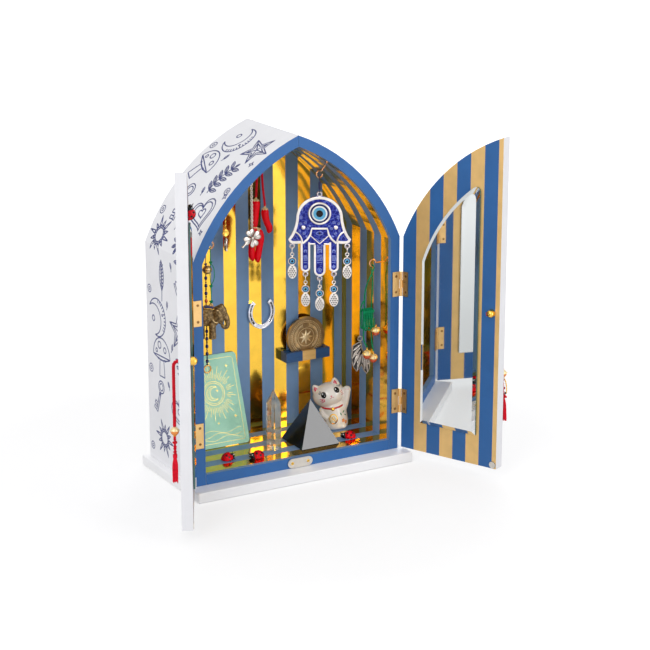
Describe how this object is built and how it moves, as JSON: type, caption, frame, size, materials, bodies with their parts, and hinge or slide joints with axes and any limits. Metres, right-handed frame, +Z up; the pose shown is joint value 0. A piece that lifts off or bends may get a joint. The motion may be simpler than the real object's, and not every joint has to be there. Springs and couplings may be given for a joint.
{
  "type": "miniature temple ornament",
  "caption": "Pointed-arch charm cabinet with two open mirrored doors, striped blue and gold, holding a hamsa, lucky cat, peppers, bells, horseshoe, crystal and pyramid.",
  "frame": {"origin": "centre of the base board's bottom face, on the surface it stands on", "axes": "+Z up, -Y out of the open front, +X to the viewer's right"},
  "size_m": [0.3699, 0.2237, 0.3546],
  "materials": {
    "white_paint": "white satin paint",
    "gold_foil": "gold mirror foil in stripes",
    "blue_paint": "blue satin paint with gold stripes",
    "mirror_glass": "bevelled mirror",
    "brass": "polished",
    "nickel": "satin nickel",
    "red_cord": "braided silk",
    "blue_cord": "waxed cord",
    "cobalt_enamel": "glossy enamel",
    "silver": "worn silver plate",
    "red_gloss": "glossy lacquer",
    "green_cord": "waxed cord",
    "bronze": "aged bronze",
    "navy_cord": "glossy beads on thread",
    "mint_card": "printed card",
    "clear_quartz": "polished facets",
    "black_stone": "polished",
    "white_glaze": "glazed"
  },
  "bodies": {
    "cabinet": {"base_board": "white_paint", "left_wall": "white_paint", "right_wall": "white_paint", "floor_panel": "blue_paint", "back_panel": "gold_foil", "catch_plate": "nickel", "left_upper_frame_leaf": "brass", "left_lower_frame_leaf": "brass", "right_upper_frame_leaf": "brass", "right_lower_frame_leaf": "brass", "hamsa_hook": "brass", "left_hook": "brass", "right_hook": "brass", "horseshoe": "silver", "coin_shelf": "blue_paint", "coin": "bronze", "card": "mint_card", "crystal": "clear_quartz", "pyramid": "black_stone", "lucky_cat": "white_glaze", "ladybird_1": "red_gloss", "ladybird_2": "red_gloss", "ladybird_3": "red_gloss"},
    "left_door": {"left_door": "blue_paint", "left_mirror": "mirror_glass", "left_magnet": "nickel", "left_stud": "brass", "left_upper_door_leaf": "brass", "left_lower_door_leaf": "brass"},
    "right_door": {"right_door": "blue_paint", "right_mirror": "mirror_glass", "right_magnet": "nickel", "right_stud": "brass", "right_upper_door_leaf": "brass", "right_lower_door_leaf": "brass"},
    "left_tassel": {"left_tassel_cord": "red_cord", "left_tassel": "red_cord"},
    "right_tassel": {"right_tassel_cord": "red_cord", "right_tassel": "red_cord"},
    "hamsa": {"hamsa_cord": "blue_cord", "hamsa": "cobalt_enamel"},
    "dangle_1": {"hamsa_dangle_1": "silver"},
    "dangle_2": {"hamsa_dangle_2": "silver"},
    "dangle_3": {"hamsa_dangle_3": "silver"},
    "dangle_4": {"hamsa_dangle_4": "silver"},
    "dangle_5": {"hamsa_dangle_5": "silver"},
    "chili_bundle": {"chili_cord": "red_cord", "chili_short": "red_gloss", "chili_pair": "red_gloss", "clover_charm": "silver"},
    "small_charm": {"small_charm": "brass"},
    "elephant": {"elephant_cord": "green_cord", "elephant": "bronze"},
    "bead_string": {"bead_string": "navy_cord"},
    "right_charms": {"bell_cord": "green_cord", "cord_hank": "green_cord", "bell_upper": "brass", "bell_left": "brass", "bell_right": "brass", "filigree_charm": "silver"}
  },
  "joints": [
    {"name": "left_door_hinge", "type": "hinge", "parent": "cabinet", "child": "left_door", "pos_m": [-0.1189, -0.04895, 0.0105], "axis": [0, 0, -1], "range_deg": [-116.6, 60]},
    {"name": "right_door_hinge", "type": "hinge", "parent": "cabinet", "child": "right_door", "pos_m": [0.1189, -0.04895, 0.0105], "axis": [0, 0, 1], "range_deg": [-113.6, 60]},
    {"name": "left_tassel_swing", "type": "hinge", "parent": "left_door", "child": "left_tassel", "pos_m": [-0.17888, -0.14149, 0.1762], "axis": [-0.8942, 0.4478, 0], "range_deg": [-35, 35]},
    {"name": "right_tassel_swing", "type": "hinge", "parent": "right_door", "child": "right_tassel", "pos_m": [0.17396, -0.1445, 0.1762], "axis": [0.9164, 0.4004, 0], "range_deg": [-35, 35]},
    {"name": "hamsa_swing", "type": "hinge", "parent": "cabinet", "child": "hamsa", "pos_m": [0.04109, -0.01675, 0.30299], "axis": [-0.866, 0.5, 0], "range_deg": [-20, 45]},
    {"name": "dangle_1_swing", "type": "hinge", "parent": "hamsa", "child": "dangle_1", "pos_m": [0.01684, -0.00275, 0.22984], "axis": [-0.866, 0.5, 0], "range_deg": [-40, 40]},
    {"name": "dangle_2_swing", "type": "hinge", "parent": "hamsa", "child": "dangle_2", "pos_m": [0.02853, -0.0095, 0.20044], "axis": [-0.866, 0.5, 0], "range_deg": [-40, 40]},
    {"name": "dangle_3_swing", "type": "hinge", "parent": "hamsa", "child": "dangle_3", "pos_m": [0.04109, -0.01675, 0.19594], "axis": [-0.866, 0.5, 0], "range_deg": [-40, 40]},
    {"name": "dangle_4_swing", "type": "hinge", "parent": "hamsa", "child": "dangle_4", "pos_m": [0.05364, -0.024, 0.20044], "axis": [-0.866, 0.5, 0], "range_deg": [-40, 40]},
    {"name": "dangle_5_swing", "type": "hinge", "parent": "hamsa", "child": "dangle_5", "pos_m": [0.06533, -0.03075, 0.22984], "axis": [-0.866, 0.5, 0], "range_deg": [-40, 40]},
    {"name": "chili_swing", "type": "hinge", "parent": "cabinet", "child": "chili_bundle", "pos_m": [-0.011, 0.01225, 0.33252], "axis": [-1, 0, 0], "range_deg": [-13, 25]},
    {"name": "small_charm_swing", "type": "hinge", "parent": "cabinet", "child": "small_charm", "pos_m": [-0.0509, 0.01225, 0.31291], "axis": [-1, 0, 0], "range_deg": [-20, 45]},
    {"name": "elephant_swing", "type": "hinge", "parent": "cabinet", "child": "elephant", "pos_m": [-0.08829, -0.02775, 0.24715], "axis": [-1, 0, 0], "range_deg": [-3, 45]},
    {"name": "bead_string_swing", "type": "hinge", "parent": "cabinet", "child": "bead_string", "pos_m": [-0.087, -0.01425, 0.27376], "axis": [-1, 0, 0], "range_deg": [-20, 2]},
    {"name": "right_charms_swing", "type": "hinge", "parent": "cabinet", "child": "right_charms", "pos_m": [0.0975, -0.02775, 0.2059], "axis": [-1, 0, 0], "range_deg": [-25, 45]}
  ]
}
